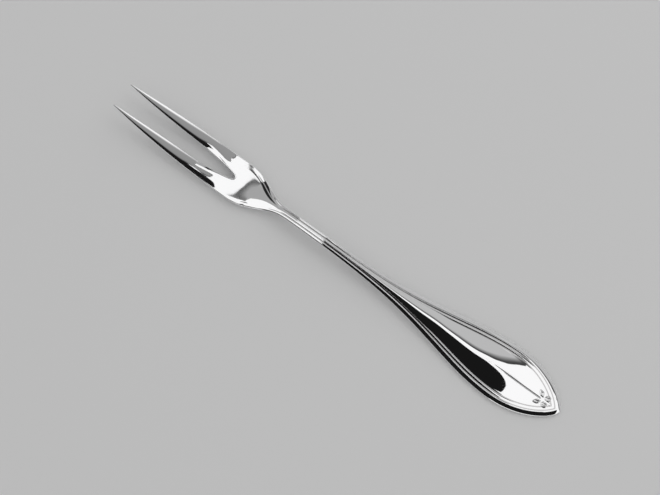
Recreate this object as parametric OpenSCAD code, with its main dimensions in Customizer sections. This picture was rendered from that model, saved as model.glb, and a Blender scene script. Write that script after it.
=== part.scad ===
// Two-tine meat fork, forged and polished in one piece, lying face up on a table.
// Stations run along +X from the tail tip to the tine tips. The origin is on the table,
// under the middle of the length. +Y is the left of the fork, seen from its handle.

/* [Lengths] */
// Tail tip to the widest place of the blade
tail_len = 23.5; // [17:0.5:30]
// Widest place of the blade to the neck
stem_len = 97.5; // [88:0.5:115]
// Neck to the bottom of the slot
root_len = 26; // [23:0.5:34]
// Neck to where the root comes to its full width
shoulder_len = 25; // [20:0.5:30]
// Bottom of the slot to the tine tips
tine_len = 53; // [42:0.5:66]
// Length over which the blade narrows into the shank
blade_fade = 37.8; // [30:0.2:44]
// Length of the arched end of the slot
slot_end_len = 15; // [10:0.5:20]
// Bottom of the slot back to the heel, the low place that touches the table
heel_back = 8.5; // [6:0.5:11]

/* [Widths] */
// Widest place of the blade
blade_w = 22.5; // [19:0.5:26]
// Blunt point of the tail
tail_tip_w = 0.6; // [0.4:0.1:1]
// Neck, the narrowest place
neck_w = 3.8; // [3.2:0.1:5]
// One tine at the bottom of the slot, with the slot's arched end left out
tine_w = 5.3; // [4.2:0.1:6.2]
// Tine to tine at the root, centre to centre
tine_pitch = 10.9; // [10.2:0.1:13]
// Point to point of the tines
tip_pitch = 10.2; // [8.5:0.1:13]
// Blunt point of a tine
tine_tip_w = 0.5; // [0.3:0.1:0.9]
// Flat floor at the bottom of the slot
slot_floor_w = 0.4; // [0.3:0.1:1.2]

/* [Thickness] */
// Blade, table side up to the widest line of its edge
blade_under = 0.9; // [0.7:0.05:1.3]
// Blade, widest line of the edge up to the threads
blade_over = 0.5; // [0.35:0.05:0.8]
// Rise of the handle's field along its centre line, for each millimetre of its half width
field_crown = 0.125; // [0.06:0.005:0.15]
// Rise of the root along its centre line
root_crown = 0.25; // [0.1:0.05:0.4]
// Rise of a tine along its middle, for each millimetre of its half width
tine_crown = 0.08; // [0.04:0.01:0.12]
// Shank, table side up to the widest line of its edge
neck_under = 2.6; // [2:0.1:3]
// Shank, widest line of the edge up to the threads
neck_over = 0.35; // [0.3:0.05:0.7]
// Root, table side up to the widest line of its edge
root_under = 2; // [1.7:0.1:2.5]
// Root, widest line of the edge up to the top
root_over = 0.35; // [0.3:0.05:0.7]
// Tine at its point
tine_tip_th = 0.7; // [0.5:0.1:1]

/* [Bends] */
// Widest line of the edge above the table, where the shank is highest
crest_height = 4.4; // [4:0.1:8]
// Tine points above the low place at the heel
tip_rise = 4; // [3:0.2:10]
// Tail tip to where the handle starts to rise
flat_len = 28; // [24:1:34]
// Neck back to where the shank is highest
crest_back = 15; // [10:0.5:20]

/* [Border threads] */
// Widest line of the edge to the outer thread, on a broad blade
flank_w = 1.6; // [1.3:0.05:2]
// The same rounding of the edge on the root, where the threads have died out
root_flank_w = 0.3; // [0.2:0.05:0.8]
// The same rounding at a tine's point
tip_flank_w = 0.2; // [0.1:0.05:0.3]
// Outer thread to inner thread, on a broad blade
thread_pitch = 1.3; // [1:0.05:1.7]
// The thread and the groove beside it, on the shank
shank_pitch = 0.9; // [0.7:0.05:1]
// Depth of the grooves beside the threads
groove_depth = 0.12; // [0.1:0.02:0.3]

/* [Feet] */
// Depth of metal dressed off the heel and the blade, so that they sit flat
foot_cut = 0.12; // [0.05:0.01:0.2]

/* [Hidden] */
// The tail, the slot's end, the tines' taper and their climb are powers of the distance run.
tail_arch = 0.74;
slot_arch = 0.52;
tine_taper = 2.3;
tine_curve = 2;
// Half widths that the flank and the rounding underneath need to come to their full size
flank_full = 2.6;
under_full = 4.5;
// Half widths below which the metal above and below the edge line gets thinner
thin_over = flank_w / 2;
thin_under = under_full / 2;
// Largest share of the half width for the border
border_share = 0.9;
// Each groove drops steeply from its thread, and is deepest at this share of the pitch.
groove_lead = 0.4;
// Depth of the grooves around the tail, as a share of their depth further on
tail_groove = 0.12;
// Half widths at which the inner groove starts and is complete
inner_from = 5;
inner_clear = 8;
// What is left of the inner groove on the shank, as a share of the outer one
inner_least = 0.1;
// The blade ends at this share of its fade.
blade_share = 1.3;
// Lengths over which the handle bends up from the table, and bends back at its crest
rise_bend = 22;
crest_bend = 6;
// From the crest to the neck the shank falls at this share of the slope that it climbed at.
crest_fall = 0.1;
// The handle turns down towards the heel this far before the neck.
dip_lead = 4;
// Step for slopes taken by difference
slope_step = 0.25;

s_wide = tail_len;
s_shank = tail_len + blade_share * blade_fade;
s_neck = tail_len + stem_len;
s_slot = s_neck + root_len;
s_tip = s_slot + tine_len;
s_heel = s_slot - heel_back;
s_crest = s_neck - crest_back;
shoulder = min(shoulder_len, root_len);
root_half = (tine_pitch + tine_w) / 2;
// Length over which the border threads die out on the root
thread_fade_len = 0.7 * shoulder;
// The field comes to its full crown between these stations.
crown_from = 0.55 * tail_len;
crown_full = 1.8 * tail_len;
steel = [0.80, 0.80, 0.81];

function mix(a, b, t) = a + (b - a) * t;
function clamp01(t) = min(1, max(0, t));
// Eases from 0 to 1 with no slope and no bend at either end
function ease(t) = let (c = clamp01(t)) c * c * c * (c * (6 * c - 15) + 10);
// How far a place has got between two others, eased
function between(s, from, to) = ease((s - from) / (to - from));
// Quarter circle, from 0 at the edge to 1 where it is level
function quarter(f) = let (c = clamp01(f)) sqrt(c * (2 - c));

// Plan outline

function handle_half(s) =
    s < s_wide
    ? mix(tail_tip_w, blade_w, pow(1 - pow(1 - s / tail_len, 2), tail_arch)) / 2
    : mix(neck_w, blade_w, exp(-pow((s - s_wide) / blade_fade, 2))) / 2;

function root_share(s) = between(s, s_neck, s_neck + shoulder);
function body_half(s) = mix(handle_half(s), root_half, root_share(s));

// Distance square to the outline, per unit of distance across
function square_share(s) =
    let (back = min(s, slope_step),
         slope = (body_half(s + slope_step) - body_half(s - back)) / (slope_step + back))
    1 / sqrt(1 + slope * slope);

function tip_share(s) = clamp01((s - s_slot) / tine_len);
function tine_centre(s) = mix(tine_pitch, tip_pitch, pow(tip_share(s), tine_taper)) / 2;
function tine_half(s) = mix(tine_w, tine_tip_w, pow(tip_share(s), tine_taper)) / 2;

function slot_half(s) =
    let (open = pow(clamp01((s - s_slot) / slot_end_len), slot_arch))
    mix(slot_floor_w / 2, tine_centre(s) - tine_half(s), open);

// Side profile, along the widest line of the edge

heel_height = root_under - foot_cut;
blade_height = blade_under - foot_cut;

// Rise of a line that turns from level to a slope of 1 within this length
function bend(s, from, length) =
    let (t = clamp01((s - from) / length))
    length * t * t * t * (1 - t / 2) + max(0, s - from - length);

function handle_rise(s) =
    let (up = bend(s, flat_len, rise_bend),
         over = bend(s, s_crest - crest_bend, crest_bend),
         climb = s_crest - crest_bend / 2 - flat_len - rise_bend / 2)
    (up - (1 + crest_fall) * over) / climb;

function tine_climb(s) = tip_rise * pow(max(0, s - s_heel) / (s_tip - s_heel), tine_curve);

function edge_height(s) =
    let (handle = mix(blade_height, crest_height, handle_rise(s)))
    mix(handle, heel_height, between(s, s_neck - dip_lead, s_heel)) + tine_climb(s);

// Half width that the handle's section goes by, which keeps its size around the tail
function border_half(s) = handle_half(max(s, s_wide));
function broad_share(s) = between(border_half(s), neck_w / 2, blade_w / 2);

// Metal above and below the widest line of the edge

function metal(s, at_blade, at_neck, at_root) =
    let (handle = mix(at_neck, at_blade, broad_share(s)),
         body = mix(handle, at_root, root_share(s)))
    mix(body, tine_tip_th / 2, pow(tip_share(s), tine_taper));

function metal_over(s) = metal(s, blade_over, neck_over, root_over);
function metal_under(s) = metal(s, blade_under, neck_under, root_under);

// Around the tail the field is level and the grooves are shallow; past the neck the grooves die out.
function past_tail(s) = between(s, crown_from, crown_full);
function past_neck(s) = between(s, s_neck, s_neck + thread_fade_len);

// Size of the inner groove as a share of the outer one
function inner_share(s) = mix(inner_least, 1, between(border_half(s), inner_from, inner_clear));

// Width of the rounded flank, pitch of the threads, and widest line of the edge to the field
function border(s, room) =
    let (handle_flank = flank_w * (1 - exp(-room / flank_full)),
         flank = mix(mix(handle_flank, root_flank_w, root_share(s)), tip_flank_w, tip_share(s)),
         pitch = mix(shank_pitch, thread_pitch, broad_share(s)),
         field = flank + pitch * (1 + inner_share(s)),
         squeeze = min(1, border_share * room / field))
    squeeze * [flank, pitch, field];

function body_crown(s) =
    let (room = min(border_half(s), body_half(s) * square_share(s)),
         handle = field_crown * (room - border(s, room)[2]) * past_tail(s))
    mix(handle, root_crown, root_share(s));

// Cross-sections

FLANK_STEPS = [0, 0.04, 0.16, 0.4, 0.7];
FIELD_STEPS = [0.3, 0.65, 1];
UNDER_STEPS = [0.7, 0.4, 0.16, 0.04];

// Points of one side of the top, from the edge in to the centre, as [distance in, height]
function top_side(s, room, crown) =
    let (edge = border(s, room),
         flank = edge[0],
         pitch = edge[1],
         field = edge[2],
         top = metal_over(s) * quarter(room / thin_over),
         inner = flank + pitch,
         groove = groove_depth * mix(tail_groove, 1, past_tail(s)) * (1 - past_neck(s)))
    concat(
        [for (f = FLANK_STEPS) [f * flank, top * quarter(f)]],
        [[flank, top], [mix(flank, inner, groove_lead), top - groove]],
        [[inner, top], [mix(inner, field, groove_lead), top - groove * inner_share(s)], [field, top]],
        [for (f = FIELD_STEPS) [mix(field, room, f), top + crown * (1 - pow(1 - f, 2))]]);

// Points of one side of the underside, from the centre out towards the edge
function under_side(s, room) =
    let (round_w = room / (1 + room / under_full),
         low = metal_under(s) * quarter(room / thin_under))
    concat([[room, -low], [round_w, -low]], [for (f = UNDER_STEPS) [f * round_w, -low * quarter(f)]]);

// One closed ring square to X: over the top from +Y to -Y, and back underneath
function ring(s, centre, half, square, crown) =
    let (top = top_side(s, half * square, crown),
         low = under_side(s, half * square),
         x = s - s_tip / 2,
         z = edge_height(s),
         n = len(top),
         m = len(low))
    concat(
        [for (p = top) [x, centre + half - p[0] / square, z + p[1]]],
        [for (i = [n - 2:-1:0]) [x, centre - half + top[i][0] / square, z + top[i][1]]],
        [for (i = [m - 1:-1:0]) [x, centre - half + low[i][0] / square, z + low[i][1]]],
        [for (i = [1:m - 1]) [x, centre + half - low[i][0] / square, z + low[i][1]]]);

function body_ring(s) = ring(s, 0, body_half(s), square_share(s), body_crown(s));

function tine_ring(s) =
    let (inner = slot_half(s),
         outer = tine_centre(s) + tine_half(s),
         half = (outer - inner) / 2)
    ring(s, (inner + outer) / 2, half, 1, tine_crown * half);

// Solid through a row of rings, with flat ends
module loft(rings) {
    n = len(rings[0]);
    last = len(rings) - 1;
    sides = [for (i = [0:last - 1], j = [0:n - 1])
        let (a = i * n + j, b = i * n + (j + 1) % n)
        each [[a, b, b + n], [a, b + n, a + n]]];
    ends = [[for (j = [n - 1:-1:0]) j], [for (j = [0:n - 1]) last * n + j]];
    polyhedron([for (r = rings) each r], concat(sides, ends), convexity = 8);
}

// Dresses the metal below the table off a solid, which leaves a flat foot
module on_table() {
    depth = 5;
    difference() {
        children();
        translate([-s_tip, -blade_w, -depth]) cube([2 * s_tip, 2 * blade_w, depth]);
    }
}

// Stations from one place to another; a power above 1 crowds them towards the first
function stations(from, to, count, power = 1) =
    [for (i = [0:count]) mix(from, to, pow(i / count, power))];
// Two runs of stations, where the second starts at the end of the first
function joined(first, second) = concat(first, [for (i = [1:len(second) - 1]) second[i]]);

// Pieces

module handle_blade() {
    tail = stations(0, s_wide, 16, 1.8);
    rest = stations(s_wide, s_shank, 16);
    color(steel) on_table() loft([for (s = joined(tail, rest)) body_ring(s)]);
}

module shank() {
    color(steel) loft([for (s = stations(s_shank, s_neck, 14)) body_ring(s)]);
}

module root() {
    color(steel) on_table() loft([for (s = stations(s_neck, s_slot, 16)) body_ring(s)]);
}

module tine() {
    arched_end = stations(s_slot, s_slot + slot_end_len, 12, 2);
    rest = stations(s_slot + slot_end_len, s_tip, 14);
    color(steel) on_table() loft([for (s = joined(arched_end, rest)) tine_ring(s)]);
}

module left_tine() { tine(); }

module right_tine() { mirror([0, 1, 0]) tine(); }

handle_blade();
shank();
root();
left_tine();
right_tine();
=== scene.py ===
# A two-tine meat fork in polished steel, lying face up on a pale table.
import math

import bpy
import numpy as np
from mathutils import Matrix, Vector, kdtree


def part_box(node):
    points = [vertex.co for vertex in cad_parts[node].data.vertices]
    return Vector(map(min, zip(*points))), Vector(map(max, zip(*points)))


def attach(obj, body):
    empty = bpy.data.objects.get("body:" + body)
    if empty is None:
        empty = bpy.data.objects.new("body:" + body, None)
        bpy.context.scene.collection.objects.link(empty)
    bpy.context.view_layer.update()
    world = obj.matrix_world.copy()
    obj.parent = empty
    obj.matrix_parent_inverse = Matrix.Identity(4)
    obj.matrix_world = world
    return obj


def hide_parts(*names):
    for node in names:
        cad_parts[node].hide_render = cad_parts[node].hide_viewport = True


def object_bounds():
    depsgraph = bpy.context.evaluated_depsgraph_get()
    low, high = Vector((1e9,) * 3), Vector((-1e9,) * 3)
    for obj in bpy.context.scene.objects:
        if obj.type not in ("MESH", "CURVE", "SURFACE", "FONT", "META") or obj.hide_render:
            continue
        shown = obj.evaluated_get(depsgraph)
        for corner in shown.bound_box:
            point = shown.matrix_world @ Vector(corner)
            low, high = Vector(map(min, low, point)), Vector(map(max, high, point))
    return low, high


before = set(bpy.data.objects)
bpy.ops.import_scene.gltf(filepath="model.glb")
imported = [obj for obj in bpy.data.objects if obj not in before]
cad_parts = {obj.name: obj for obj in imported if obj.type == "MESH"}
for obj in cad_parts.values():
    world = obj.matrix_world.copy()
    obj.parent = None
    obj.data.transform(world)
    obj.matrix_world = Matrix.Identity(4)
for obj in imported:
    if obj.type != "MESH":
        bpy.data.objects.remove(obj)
cad_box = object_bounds()

# Sizes are in millimetres. Stations run along the fork from the tail tip to the tine tips.

MM = 0.001


def station(node, end):
    """Station of a node's tail end (0) or tine end (1)."""
    return (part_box(node)[end][0] - cad_box[0][0]) / MM


def width(node):
    low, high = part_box(node)
    return (high[1] - low[1]) / MM


# Sizes read off the solids
S_SHANK = station("shank", 0)
S_NECK = station("shank", 1)
S_SLOT = station("root", 1)
S_TIP = station("left_tine", 1)
TINE_LEN = S_TIP - S_SLOT
BLADE_W = width("handle_blade")
ROOT_HALF = width("root") / 2

# Plan outline
TAIL_LEN = 23.5
TAIL_TIP_W = 0.6
TAIL_ARCH = 0.74
BLADE_FADE = 37.8
NECK_W = 3.8
SHOULDER_LEN = 25
TINE_W = 5.3
TINE_TIP_W = 0.5
TINE_TAPER = 2.3
TINE_PITCH = 2 * ROOT_HALF - TINE_W
TIP_PITCH = 10.2
SLOT_FLOOR_W = 0.4
SLOT_END_LEN = 15
SLOT_ARCH = 0.52

# Side profile
FLAT_LEN = 28
RISE_BEND = 22
CREST_HEIGHT = 4.4
CREST_BACK = 15
CREST_BEND = 6
CREST_FALL = 0.1
DIP_LEAD = 4
HEEL_BACK = 8.5
FOOT_CUT = 0.12
TIP_RISE = 4
TINE_CURVE = 2
S_CREST = S_NECK - CREST_BACK
S_HEEL = S_SLOT - HEEL_BACK

# Metal above and below the widest line of the edge
BLADE_OVER = 0.5
BLADE_UNDER = 0.9
NECK_OVER = 0.35
NECK_UNDER = 2.6
ROOT_OVER = 0.35
ROOT_UNDER = 2
TINE_TIP_TH = 0.7
UNDER_FULL = 4.5

# Rounded flanks
FLANK_W = 1.6
FLANK_FULL = 2.6
ROOT_FLANK_W = 0.3
TIP_FLANK_W = 0.2
SLOT_RAMP = 0.6

# Threads and the grooves between them
THREAD_PITCH = 1.3
SHANK_PITCH = 0.9
THREAD_LAND = 0.12
THREAD_FADE_LEN = 0.45 * SHOULDER_LEN
BORDER_SHARE = 0.9
GROOVE_DEPTH = 0.12
GROOVE_LEAD = 0.35
GROOVE_POWER = math.log(0.5) / math.log(GROOVE_LEAD)
GROOVE_TINT_POWER = 3
TAIL_GROOVE_SHARE = 0.05
INNER_FROM = 5
INNER_CLEAR = 8
INNER_LEAST = 0.1

# Crowns of the field, the root and the tines
FIELD_CROWN = 0.125
FIELD_HALF_LEAST = 0.1
CROWN_FROM = 0.55 * TAIL_LEN
CROWN_FULL = 1.8 * TAIL_LEN
ROOT_CROWN = 0.25
ROOT_CROWN_LEN = 0.6 * SHOULDER_LEN
TINE_CROWN = 0.08
SPLIT_LEN = 17

# Ornament at the tail
ORNAMENT_HALF = 0.17
ORNAMENT_HEIGHT = 0.08
SCROLL_S = 5.9
SCROLL_Y = 1.22
SCROLL_R = 1
SCROLL_END_R = 0.3
SCROLL_START = -0.6
SCROLL_TURNS = 1.6
LEAF_S = 8.9
LEAF_Y = 1.7
LEAF_HALF_LEN = 1.2
LEAF_HALF_W = 0.5
LEAF_POINT = 3
LEAF_SLANT = math.radians(35)
LINE_FROM = 9
LINE_TO = 34
LINE_LEAD = 1
LINE_FADE = 16
LINE_HALF = 0.2
LINE_DEPTH = 0.025

# Fineness of the lines that distances are measured from
BODY_POINTS = 7000
BODY_CROWDING = 1.5
TINE_POINTS = 3000
TINE_CROWDING = 2
END_POINTS = 40
SCROLL_POINTS = 240
LEAF_POINTS = 160

# Fineness of the meshes across the fork
FLANK_PLACES = 9
GROOVE_PLACES = 14
GROOVE_CROWDING = 1.6
FIELD_PLACES = 33
FIELD_CROWDING = 1.4
TINE_PLACES = 49
SLOPE_STEP = 0.05
TAIL_CLEAR = 4
WELD = 1e-6
LEAST_NORMAL = 1e-12

# Fineness of the meshes along the fork
TAIL_END_LEN = 1.2
TAIL_END_RINGS = 14
ORNAMENT_END = 12.6
ORNAMENT_RINGS = 96
TAIL_STEP = 0.3
BLADE_RINGS = 90
SHANK_RINGS = 70
ROOT_RINGS = 60
RAMP_LEAD = 0.4
RAMP_RINGS = 15
SLOT_RINGS = 34
SLOT_RINGS_LEN = 14
END_CROWDING = 1.8
TINE_LEAD = 14.8
TINE_RINGS = 44
POINT_LEAD = 0.5
POINT_LEN = 0.3
POINT_RINGS = 7
POINT_CROWDING = 2
BESIDE = 0.2
BESIDE_SLOT = 0.02


def mix(a, b, t):
    return a + (b - a) * t


def ease(t):
    """From 0 to 1 with no slope and no bend at either end."""
    c = np.clip(t, 0, 1)
    return c**3 * (c * (6 * c - 15) + 10)


def between(s, start, end):
    """How far a place has got between two others, eased."""
    return ease((s - start) / (end - start))


def quarter(f):
    """Quarter circle, from 0 at the edge to 1 where it is level."""
    c = np.clip(f, 0, 1)
    return np.sqrt(c * (2 - c))


def crowded(start, end, count, power):
    """Places from one to another, crowded towards the first."""
    return start + (end - start) * np.linspace(0, 1, count) ** power


# Plan outline


def handle_half(s):
    back = np.clip(1 - s / TAIL_LEN, 0, 1)
    tail = mix(TAIL_TIP_W, BLADE_W, (1 - back**2) ** TAIL_ARCH)
    stem = mix(NECK_W, BLADE_W, np.exp(-(((s - TAIL_LEN) / BLADE_FADE) ** 2)))
    return np.where(s < TAIL_LEN, tail, stem) / 2


def root_share(s):
    return between(s, S_NECK, S_NECK + SHOULDER_LEN)


def body_half(s):
    return mix(handle_half(s), ROOT_HALF, root_share(s))


def tip_share(s):
    return np.clip((s - S_SLOT) / TINE_LEN, 0, 1)


def tine_centre(s):
    return mix(TINE_PITCH, TIP_PITCH, tip_share(s) ** TINE_TAPER) / 2


def tine_half(s):
    return mix(TINE_W, TINE_TIP_W, tip_share(s) ** TINE_TAPER) / 2


def slot_half(s):
    opened = np.clip((s - S_SLOT) / SLOT_END_LEN, 0, 1) ** SLOT_ARCH
    return mix(SLOT_FLOOR_W / 2, tine_centre(s) - tine_half(s), opened)


def tine_outer(s):
    return tine_centre(s) + tine_half(s)


class Outline:
    """Closely spaced points along lines on the left half, to measure distances from."""

    def __init__(self, *runs):
        points = [(s, y, 0) for along, across in runs for s, y in np.broadcast(along, across)]
        self.tree = kdtree.KDTree(len(points))
        for place, point in enumerate(points):
            self.tree.insert(point, place)
        self.tree.balance()

    def distance(self, s, y):
        found = [self.tree.find((a, b, 0))[2] for a, b in zip(s.ravel(), y.ravel())]
        return np.array(found).reshape(s.shape)


body_run = crowded(0, S_SLOT, BODY_POINTS, BODY_CROWDING)
tine_run = crowded(S_SLOT, S_TIP, TINE_POINTS, TINE_CROWDING)
end_run = np.linspace(0, 1, END_POINTS)
outer_edge = Outline(
    (0, end_run * TAIL_TIP_W / 2),
    (body_run, body_half(body_run)),
    (tine_run, tine_outer(tine_run)),
    (S_TIP, TIP_PITCH / 2 + (end_run - 0.5) * TINE_TIP_W),
)
slot_edge = Outline((S_SLOT, end_run * SLOT_FLOOR_W / 2), (tine_run, slot_half(tine_run)))


# Side profile, along the widest line of the edge


def bend(s, start, length):
    """Rise of a line that turns from level to a slope of 1 within this length."""
    t = np.clip((s - start) / length, 0, 1)
    return length * t**3 * (1 - t / 2) + np.maximum(s - start - length, 0)


def handle_rise(s):
    """Rise from the flat of the blade (0) to the crest of the shank (1), and the fall beyond it."""
    up = bend(s, FLAT_LEN, RISE_BEND)
    over = bend(s, S_CREST - CREST_BEND, CREST_BEND)
    climb = S_CREST - CREST_BEND / 2 - FLAT_LEN - RISE_BEND / 2
    return (up - (1 + CREST_FALL) * over) / climb


def tine_climb(s):
    return TIP_RISE * (np.maximum(s - S_HEEL, 0) / (S_TIP - S_HEEL)) ** TINE_CURVE


def edge_height(s):
    heel = ROOT_UNDER - FOOT_CUT
    handle = mix(BLADE_UNDER - FOOT_CUT, CREST_HEIGHT, handle_rise(s))
    return mix(handle, heel, between(s, S_NECK - DIP_LEAD, S_HEEL)) + tine_climb(s)


def border_half(s):
    """Half width that the handle's section goes by, which keeps its size around the tail."""
    return handle_half(np.maximum(s, TAIL_LEN))


def broad_share(s):
    return between(border_half(s), NECK_W / 2, BLADE_W / 2)


def metal(s, at_blade, at_neck, at_root):
    """Metal above or below the widest line of the edge."""
    handle = mix(at_neck, at_blade, broad_share(s))
    return mix(mix(handle, at_root, root_share(s)), TINE_TIP_TH / 2, tip_share(s) ** TINE_TAPER)


# Ornament at the tail end of the field: a scroll and a leaf on either side of the centre line


def scroll_line():
    turn = np.linspace(0, 2 * math.pi * SCROLL_TURNS, SCROLL_POINTS)
    radius = mix(SCROLL_R, SCROLL_END_R, turn / turn[-1])
    angle = SCROLL_START + turn
    return SCROLL_S + radius * np.cos(angle), SCROLL_Y + radius * np.sin(angle)


def leaf_line():
    turn = np.linspace(0, 2 * math.pi, LEAF_POINTS)
    along = LEAF_HALF_LEN * np.cos(turn)
    across = LEAF_HALF_W * np.sin(turn) ** LEAF_POINT
    s = LEAF_S + along * math.cos(LEAF_SLANT) - across * math.sin(LEAF_SLANT)
    y = LEAF_Y + along * math.sin(LEAF_SLANT) + across * math.cos(LEAF_SLANT)
    return s, y


ornament_line = Outline(scroll_line(), leaf_line())


def ornament(s, y):
    """Raised lines, as heights above the field."""
    apart = ornament_line.distance(s, np.abs(y)) / ORNAMENT_HALF
    return ORNAMENT_HEIGHT * np.exp(-(apart**2))


def centre_line(s, y):
    """Fine engraved line that runs on from the scrolls along the middle, as depths below the field."""
    begun = between(s, LINE_FROM - LINE_LEAD, LINE_FROM)
    ended = between(s, LINE_TO - LINE_FADE, LINE_TO)
    return LINE_DEPTH * begun * (1 - ended) * np.exp(-((y / LINE_HALF) ** 2))


# Top and underside


def past_tail(s):
    return between(s, CROWN_FROM, CROWN_FULL)


def inner_share(s):
    """Size of the inner groove as a share of the outer one."""
    return mix(INNER_LEAST, 1, between(border_half(s), INNER_FROM, INNER_CLEAR))


def border(s):
    """Width of the rounded flank, pitch of the threads, and distance from the edge to the field."""
    half = border_half(s)
    flank = mix(FLANK_W * (1 - np.exp(-half / FLANK_FULL)), ROOT_FLANK_W, root_share(s))
    flank = mix(flank, TIP_FLANK_W, tip_share(s))
    pitch = mix(SHANK_PITCH, THREAD_PITCH, broad_share(s))
    field = flank + pitch * (1 + inner_share(s))
    squeeze = np.minimum(1, BORDER_SHARE * half / field)
    return flank * squeeze, pitch * squeeze, field * squeeze


def fork_crown(s, y):
    """Gentle rise of the root across its whole width, and then of each tine across its own."""
    whole = np.where(s <= S_SLOT, body_half(s), tine_outer(s))
    tine_room = (tine_outer(s) - slot_half(s)) / 2
    tine_place = (np.abs(y) - slot_half(s)) / tine_room - 1
    root = between(s, S_NECK, S_NECK + ROOT_CROWN_LEN) * (1 - (y / whole) ** 2)
    tine = TINE_CROWN * tine_room * (1 - tine_place**2)
    return mix(ROOT_CROWN * root, tine, between(s, S_SLOT, S_SLOT + SPLIT_LEN))


def groove_wave(t):
    """Depth across a groove, which drops steeply from its outer thread and rises gently to the next."""
    past_land = np.clip((t - THREAD_LAND) / (1 - THREAD_LAND), 0, 1)
    return (1 - np.cos(2 * math.pi * past_land**GROOVE_POWER)) / 2


def top_height(s, y, near, crest, slot):
    """Height of the top above the edge line, and how dark the grooves are there."""
    flank, pitch, field_edge = border(s)
    slot_flank = mix(SLOT_RAMP, flank, between(s, S_SLOT, S_SLOT + SLOT_END_LEN))
    over = metal(s, BLADE_OVER, NECK_OVER, ROOT_OVER)
    rise = over * quarter(near / flank) * quarter(slot / slot_flank)

    outer = groove_wave((near - flank) / pitch)
    inner = groove_wave((near - flank - pitch) / (field_edge - flank - pitch))
    groove = (outer + inner_share(s) * inner) * (1 - between(s, S_NECK, S_NECK + THREAD_FADE_LEN))
    depth = GROOVE_DEPTH * mix(TAIL_GROOVE_SHARE, 1, past_tail(s)) * groove

    field_half = np.maximum(np.minimum(crest, border_half(s)) - field_edge, FIELD_HALF_LEAST)
    to_crest = np.clip((near - field_edge) / field_half, 0, 1)
    crown = FIELD_CROWN * field_half * past_tail(s) * (1 - root_share(s))
    field = crown * (1 - (1 - to_crest) ** 2) + ornament(s, y) - centre_line(s, y)
    height = rise - depth + field + fork_crown(s, y) * quarter(near / flank)
    return height, groove**GROOVE_TINT_POWER


def under_depth(s, near):
    room = np.where(s <= S_SLOT, body_half(s), tine_half(s))
    under = metal(s, BLADE_UNDER, NECK_UNDER, ROOT_UNDER)
    return under * quarter(near / (room / (1 + room / UNDER_FULL)))


# Meshes


def body_across(s):
    """Places across one station of the body, from the left edge to the right edge."""
    half = float(body_half(s))
    start = max(0, s - SLOPE_STEP)
    end = s + SLOPE_STEP
    slope = float(body_half(end) - body_half(start)) / (end - start)
    square = 1 / math.hypot(1, slope)
    flank, pitch, field = border(s)
    squeeze = min(1, BORDER_SHARE * half * square / float(field)) / square
    turn = np.linspace(0, math.pi / 2, FLANK_PLACES)[:-1]
    steps = crowded(0, 1, GROOVE_PLACES, GROOVE_CROWDING)
    grooves = [mix(flank, flank + pitch, steps[:-1]), mix(flank + pitch, field, steps)]
    inward = np.concatenate([flank * (1 - np.cos(turn)), *grooves]) * squeeze
    centre = crowded(half, inward[-1], FIELD_PLACES, FIELD_CROWDING)[-2::-1]
    side = half - np.concatenate([inward, centre])
    # Clear of the tail tip, the places on the border move to their true distances from the edge
    if s > TAIL_CLEAR:
        border_side = side[1:len(inward)]
        off = outer_edge.distance(np.full_like(border_side, s), border_side) - inward[1:] * square
        side[1:len(inward)] += off / square
    return np.concatenate([side, -side[-2::-1]])


def left_tine_across(s):
    """Places across one station of the left tine, from its outer edge to the slot."""
    turn = np.linspace(0, math.pi, TINE_PLACES)
    return mix(float(tine_outer(s)), float(slot_half(s)), (1 - np.cos(turn)) / 2)


def right_tine_across(s):
    return -left_tine_across(s)[::-1]


def rings(stations, across):
    """Closed rings of points, over the top and back underneath, and the groove tint at each point."""
    y = np.array([across(s) for s in stations])
    s = np.repeat(np.array(stations)[:, None], y.shape[1], 1)
    near = outer_edge.distance(s, np.abs(y))
    slot = slot_edge.distance(s, np.abs(y))
    # The first and last places lie on the edge itself
    near[:, [0, -1]] = 0
    crest = outer_edge.distance(s[:, :1], 0 * s[:, :1])
    top, groove = top_height(s, y, near, crest, slot)
    edge = edge_height(s)
    x = s + cad_box[0][0] / MM
    upper = np.stack([x, y, edge + top], 2)
    lower = np.stack([x, y, np.maximum(edge - under_depth(s, np.minimum(near, slot)), 0)], 2)
    groove = np.concatenate([groove, 0 * groove[:, 1:-1]], 1)
    return np.concatenate([upper, lower[:, -2:0:-1]], 1), groove


def ring_normals(points):
    around = np.roll(points, -1, 1) - np.roll(points, 1, 1)
    normals = np.cross(around, np.gradient(points, axis=0))
    lengths = np.linalg.norm(normals, axis=2, keepdims=True)
    return normals / np.maximum(lengths, LEAST_NORMAL)


def add_object(name, data):
    new = bpy.data.objects.new(name, data)
    bpy.context.scene.collection.objects.link(new)
    return new


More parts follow.
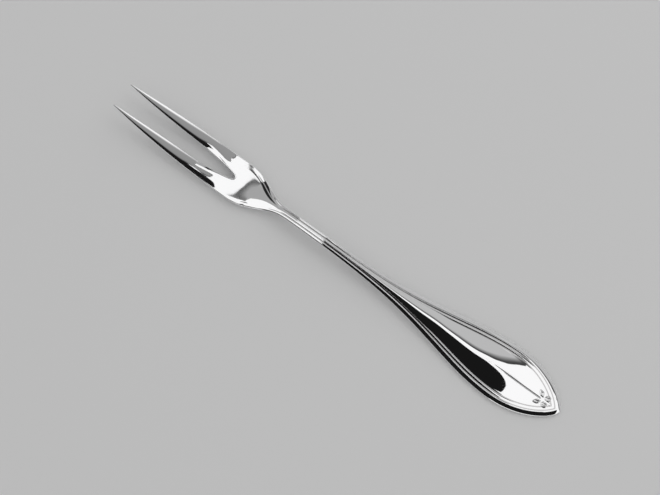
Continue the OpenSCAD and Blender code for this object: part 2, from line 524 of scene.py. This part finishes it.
def loft(name, points, normals, groove):
    """Closed mesh through rings of points, with flat ends and the given smooth normals."""
    rows, count = points.shape[:2]
    index = np.arange(rows * count).reshape(rows, count)
    # Points of the top and the underside that meet become one
    for j in range(1, count // 2):
        met = np.linalg.norm(points[:, j] - points[:, count - j], axis=1) < WELD
        index[met, count - j] = index[met, j]

    faces = []
    corners = []

    def add(cells, cell_normals):
        kept = [k for k in range(len(cells)) if cells[k] not in cells[:k]]
        if len(kept) > 2:
            faces.append([cells[k] for k in kept])
            corners.extend(cell_normals[k] for k in kept)

    for i in range(rows - 1):
        for j in range(count):
            n = (j + 1) % count
            places = [(i, j), (i, n), (i + 1, n), (i + 1, j)]
            add([int(index[p]) for p in places], [normals[p] for p in places])
    for i, way in ((0, -1), (rows - 1, 1)):
        for j in range(count // 2):
            places = [(i, j), (i, j + 1), (i, (count - j - 1) % count), (i, (count - j) % count)]
            add([int(index[p]) for p in places[::way]], [Vector((way, 0, 0))] * 4)

    used, packed = np.unique([v for face in faces for v in face], return_inverse=True)
    ends = np.cumsum([len(face) for face in faces])
    faces = [part.tolist() for part in np.split(packed, ends[:-1])]
    mesh = bpy.data.meshes.new(name)
    mesh.from_pydata((points.reshape(-1, 3)[used] * MM).tolist(), [], faces)
    mesh.attributes.new("groove", "FLOAT", "POINT").data.foreach_set("value", groove.ravel()[used])
    mesh.polygons.foreach_set("use_smooth", [True] * len(faces))
    mesh.normals_split_custom_set([tuple(n) for n in corners])
    return add_object(name, mesh)


def fork_piece(node, stations, across, before=(), after=()):
    """One section of the fork. Extra stations before and after only shape the normals at its ends."""
    points, groove = rings([*before, *stations, *after], across)
    normals = ring_normals(points)
    keep = slice(len(before), len(before) + len(stations))
    piece = loft("fork_" + node, points[keep], normals[keep], groove[keep])
    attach(piece, "root")
    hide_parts(node)
    return piece


blade_stations = np.concatenate([
    crowded(0, TAIL_END_LEN, TAIL_END_RINGS, END_CROWDING),
    np.linspace(TAIL_END_LEN, ORNAMENT_END, ORNAMENT_RINGS)[1:-1],
    np.arange(ORNAMENT_END, TAIL_LEN, TAIL_STEP),
    np.linspace(TAIL_LEN, S_SHANK, BLADE_RINGS),
])
shank_stations = np.linspace(S_SHANK, S_NECK, SHANK_RINGS)
ramp = np.sin(np.linspace(0, math.pi / 2, RAMP_RINGS)) ** 2
root_stations = np.concatenate([
    np.linspace(S_NECK, S_SLOT - SLOT_RAMP - RAMP_LEAD, ROOT_RINGS),
    S_SLOT - SLOT_RAMP * ramp[::-1],
])
tine_stations = np.concatenate([
    crowded(S_SLOT, S_SLOT + SLOT_RINGS_LEN, SLOT_RINGS, END_CROWDING),
    np.linspace(S_SLOT + TINE_LEAD, S_TIP - POINT_LEAD, TINE_RINGS),
    crowded(S_TIP, S_TIP - POINT_LEN, POINT_RINGS, POINT_CROWDING)[::-1],
])

pieces = [
    fork_piece("handle_blade", blade_stations, body_across, after=[S_SHANK + BESIDE]),
    fork_piece("shank", shank_stations, body_across, before=[S_SHANK - BESIDE], after=[S_NECK + BESIDE]),
    fork_piece(
        "root", root_stations, body_across, before=[S_NECK - BESIDE], after=[S_SLOT + BESIDE_SLOT]
    ),
    fork_piece("left_tine", tine_stations, left_tine_across, before=[S_SLOT - BESIDE_SLOT]),
    fork_piece("right_tine", tine_stations, right_tine_across, before=[S_SLOT - BESIDE_SLOT]),
]

# Finish: bright metal with a fine change of gloss, duller and darker at the bottom of the grooves

WEAR_SCALE = 90
WEAR_DETAIL = 5
LEAST_ROUGH = 0.012
MOST_ROUGH = 0.03
GROOVE_ROUGH = 0.1
BRIGHT_METAL = (0.9, 0.9, 0.905, 1)
GROOVE_METAL = (0.5, 0.49, 0.49, 1)


def add_node(tree, kind, inputs=(), **settings):
    """Adds a shader node. Each input is a value, or another node's output to link."""
    new = tree.nodes.new(kind)
    for key, value in settings.items():
        setattr(new, key, value)
    for key, value in dict(inputs).items():
        if isinstance(value, bpy.types.NodeSocket):
            tree.links.new(value, new.inputs[key])
        else:
            new.inputs[key].default_value = value
    return new


def new_material(name, **sockets):
    """Material with one shader. Each keyword sets the shader's socket of that name."""
    material = bpy.data.materials.new(name)
    material.use_nodes = True
    shader = material.node_tree.nodes["Principled BSDF"]
    for key, value in sockets.items():
        shader.inputs[key.replace("_", " ").title()].default_value = value
    return material


steel = new_material("polished_steel", metallic=1)
tree = steel.node_tree
shader = tree.nodes["Principled BSDF"]
place = add_node(tree, "ShaderNodeTexCoord").outputs["Object"]
noise = {"Vector": place, "Scale": WEAR_SCALE, "Detail": WEAR_DETAIL}
wear = add_node(tree, "ShaderNodeTexNoise", noise).outputs["Fac"]
groove = add_node(tree, "ShaderNodeAttribute", attribute_name="groove").outputs["Fac"]
spread = {"Value": wear, "To Min": LEAST_ROUGH, "To Max": MOST_ROUGH}
gloss = add_node(tree, "ShaderNodeMapRange", spread).outputs["Result"]
dull = add_node(tree, "ShaderNodeMath", {0: groove, 1: GROOVE_ROUGH, 2: gloss}, operation="MULTIPLY_ADD")
tree.links.new(dull.outputs[0], shader.inputs["Roughness"])
colours = {"Factor": groove, "A": BRIGHT_METAL, "B": GROOVE_METAL}
tint = add_node(tree, "ShaderNodeMix", colours, data_type="RGBA")
tree.links.new(tint.outputs["Result"], shader.inputs["Base Color"])
for piece in pieces:
    piece.data.materials.append(steel)

# Table, in metres

TABLE_HALF = 3
table_mesh = bpy.data.meshes.new("table")
corners = [(TABLE_HALF * x, TABLE_HALF * y, 0) for x, y in ((-1, -1), (1, -1), (1, 1), (-1, 1))]
table_mesh.from_pydata(corners, [], [(0, 1, 2, 3)])
table = add_object("table", table_mesh)
paper = new_material("table_paper", base_color=(0.8, 0.8, 0.8, 1), roughness=0.9)
table_mesh.materials.append(paper)

# Studio: a grey room, and panels far above the table that the polished metal mirrors.
# Heights are in metres. Places are degrees off plumb, towards the tail and towards the right tine.

CEILING = 20
LAYER = 0.01

# How brightly the room and the panels glow
BLACK = 0.009
BAR_BLACK = 0.02
HEEL_BLACK = 0.04
TAIL_BLACK = 0.05
TINE_BLACK = 0.06
TAIL_DARK = 0.07
DARK = 0.12
SEAM_DARK = 0.15
SHADE = 0.26
GREY = 0.33
DIM = 0.4
ROOM = 0.52
PALE = 0.53
LIGHT = 0.8
WHITE = 1.05

# Lines where panels end or meet
TAIL_LINE = -5.2
ROOT_LINE = -12.6
ROOM_END = 50
BAND_FROM = 60
BAND_TO = 66
ROOM_FOOT = 85
FAR_END = 52
NEAR_END = -62
TAIL_NEAR_END = -41
LIGHT_FROM = -60
LIGHT_TO = -20
NEAR_PANEL_FROM = -18
TINE_DARK_FROM = 4

# Widths of the soft and dark edges of panels
FAR_EDGE_W = 3.6
FAR_PANEL_W = 8
TINE_SHADE_W = 3
TAIL_EDGE_W = 1.6
TAIL_SHADE_W = 7
HEEL_EDGE_W = 0.15
HEEL_SHADE_W = 0.55
TINE_EDGE_W = 0.12

glow = bpy.data.materials.new("panel_glow")
glow.use_nodes = True
tree = glow.node_tree
tree.nodes.clear()
strength = add_node(tree, "ShaderNodeAttribute", attribute_name="level").outputs["Fac"]
emission = add_node(tree, "ShaderNodeEmission", {"Strength": strength})
add_node(tree, "ShaderNodeOutputMaterial", {"Surface": emission.outputs[0]})
panels = []


def panel(name, edge, far_edge, level, far_level=None):
    """Glowing strip between two edges with as many places, in front of the panels before it.

    The level fades to the far level across it, where one is given.
    """
    places = np.tan(np.radians([*edge, *far_edge]))
    height = CEILING - LAYER * len(panels)
    corners = [(-height * a, -height * b, height) for a, b in places]
    count = len(edge)
    mesh = bpy.data.meshes.new(name)
    mesh.from_pydata(corners, [], [(i, i + 1, count + i + 1, count + i) for i in range(count - 1)])
    levels = [level] * count + [level if far_level is None else far_level] * count
    mesh.attributes.new("level", "FLOAT", "POINT").data.foreach_set("value", levels)
    mesh.materials.append(glow)
    piece = add_object(name, mesh)
    piece.visible_camera = False
    piece.visible_diffuse = False
    panels.append(piece)


def shifted(edge, along=0, across=0):
    return [(a + along, b + across) for a, b in edge]


def level_with(edge, across):
    return [(a, across) for a, b in edge]


def ring(off):
    """Square loop right around the room, this far off plumb."""
    return [(-off, -off), (off, -off), (off, off), (-off, off), (-off, -off)]


# Rings around the room, a light on the near side, and the pale far side over the handle
panel("room_upper", ring(ROOM_END), ring(BAND_FROM), PALE)
panel("room_band", ring(BAND_FROM), ring(BAND_TO), DARK)
panel("room_lower", ring(BAND_TO), ring(ROOM_FOOT), LIGHT)
near_side = [(-ROOM_END, 0), (ROOM_END, 0)]
panel("near_light", level_with(near_side, LIGHT_FROM), level_with(near_side, LIGHT_TO), WHITE)
far_side = [(-12, 12), (10, 12)]
panel("far_side", far_side, level_with(far_side, FAR_END), PALE)
panel("far_light", [(-8, 19), (-4.3, 18)], [(-8, 27), (-4.8, 25)], LIGHT)

# Grey over the tines, white beyond it and black on the near side
panel("tine_grey", [(ROOT_LINE, 4), (TAIL_LINE, 4)], [(ROOT_LINE, 32), (TAIL_LINE, 18)], SHADE, GREY)
far_rim = [(ROOT_LINE, 28), (-11.5, 26.5), (-10, 23), (-9, 21), (-8, 19), (-7, 16.5), (TAIL_LINE, 13)]
far_start = shifted(far_rim, 0, FAR_EDGE_W)
panel("far_panel_edge", far_rim, far_start, GREY, WHITE)
panel("far_panel", far_start, shifted(far_rim, 0, FAR_PANEL_W), WHITE)
dark_rim = [
    (ROOT_LINE, 6.5), (-11.8, 7), (-11, 8.3), (-10.3, 8.5),
    (-9.8, 5.5), (-9, 4.2), (-7, 3.6), (TAIL_LINE, 5),
]
panel("tine_shade", dark_rim, shifted(dark_rim, 0, TINE_SHADE_W), BLACK, SHADE)
panel("tines_dark", level_with(dark_rim, NEAR_END), dark_rim, BLACK)

# White panel over the tail, with a dark far rim, a thin seam and the black near side of the room
tail_rim = [
    (TAIL_LINE, 15.6), (-4, 16.3), (-2.9, 17.2), (-1.5, 18.6),
    (-0.5, 19), (0.5, 19.2), (5, 24), (45, 34),
]
tail_edge = shifted(tail_rim, 0, TAIL_EDGE_W)
panel("tail_shade", tail_edge, shifted(tail_rim, 0, TAIL_SHADE_W), TAIL_DARK, PALE)
panel("tail_edge", tail_rim, tail_edge, TAIL_BLACK, TAIL_DARK)
tail_near = [
    (TAIL_LINE, 9.5), (-3.8, 9.9), (-3, 10.4), (-2, 11.3),
    (-0.5, 12.3), (1.5, 12.6), (5, 13), (45, -24),
]
panel("tail_panel", tail_near, tail_rim, WHITE)
panel("tail_dark", level_with(tail_near, TAIL_NEAR_END), tail_near, BLACK)
tail_seam = [(-2.4, 14.5), (-1, 14.5), (1.7, 14.9), (3, 15)]
tail_seam_far = [(-2.4, 14.5), (-1, 14.57), (1.7, 15.05), (3, 15.15)]
panel("tail_seam", tail_seam, tail_seam_far, SEAM_DARK)

# White panel over the root, with a dark rim on both sides
tine_rim = [
    (-11.8, 4), (-11.7, 6.9), (-10.3, 7.2), (-10.4, 9.5), (-11, 11.5),
    (-12, 14), (-12.1, 15.5), (-12, 17.3), (-11.4, 18.8), (-12.3, 22.4),
]
heel_rim = [
    (-12.6, 4), (-12.75, 6.9), (-12.8, 7.2), (-13.2, 9.5), (-13.5, 11.5),
    (-13.85, 14), (-13.95, 15.5), (-14.05, 17), (-14, 20), (-13.6, 22.4),
]
heel_edge = shifted(heel_rim, -HEEL_EDGE_W)
root_side = [(-ROOM_END, 0), (ROOT_LINE, 0)]
panel("root_side", root_side, level_with(root_side, FAR_END), DIM)
panel("heel_shade", heel_edge, shifted(heel_rim, -HEEL_SHADE_W), DARK, DIM)
panel("heel_edge", heel_rim, heel_edge, HEEL_BLACK, DARK)
panel("heel_panel", heel_rim, tine_rim, WHITE)
panel("heel_panel_end", tine_rim, shifted(tine_rim, TINE_EDGE_W), TINE_BLACK)
dark_lobe = dark_rim[1:4]
panel("tines_dark_end", level_with(dark_lobe, TINE_DARK_FROM), dark_lobe, BLACK)

# White panels on the near side of the root and over the neck, and a dark bar on the far side
near_rim = [
    (-11.3, 3), (-12.6, 5), (-12.8, 7.6), (-13.5, 9.3),
    (-15, 10.8), (-20, 12), (-34, 16.2), (-ROOM_END, 18.6),
]
near_start = level_with(near_rim, NEAR_PANEL_FROM)
panel("near_dark", level_with(near_rim, NEAR_END), near_start, BLACK)
panel("near_panel", near_start, near_rim, WHITE)
panel("neck_panel", [(-14.8, 30), (-13.6, 30)], [(-18.5, 46), (-14.5, 46)], WHITE)
far_bar = [(-13.65, 20.1), (-15, 20), (-20, 19.8), (-25, 19.8), (-34, 19.4), (-ROOM_END, 20.6)]
far_bar_end = [(-13.65, 23), (-15, 24.5), (-20, 25), (-25, 24.5), (-34, 23), (-ROOM_END, 24.4)]
panel("far_bar", far_bar, far_bar_end, BAR_BLACK)

world = bpy.data.worlds.new("studio")
world.use_nodes = True
world.node_tree.nodes["Background"].inputs["Color"].default_value = (ROOM, ROOM, ROOM, 1)
bpy.context.scene.world = world

# Lamp and camera


def aim(thing, target):
    thing.rotation_euler = (target - thing.location).to_track_quat("-Z", "Y").to_euler()


lamp_data = bpy.data.lights.new("window", "AREA")
lamp_data.size = 2.4
lamp_data.energy = 12
lamp = add_object("window", lamp_data)
lamp.location = (-0.6, -1.6, 0.9)
lamp.visible_glossy = False
aim(lamp, Vector((0, 0, 0)))

camera_data = bpy.data.cameras.new("camera")
camera_data.sensor_width = 36
camera_data.lens = 100
camera = add_object("camera", camera_data)
camera.location = Vector((-122.5, 166, 640.7)) * MM
aim(camera, Vector((2.76, -0.28, 0)) * MM)
bpy.context.scene.camera = camera
bpy.context.scene.view_settings.view_transform = "Standard"
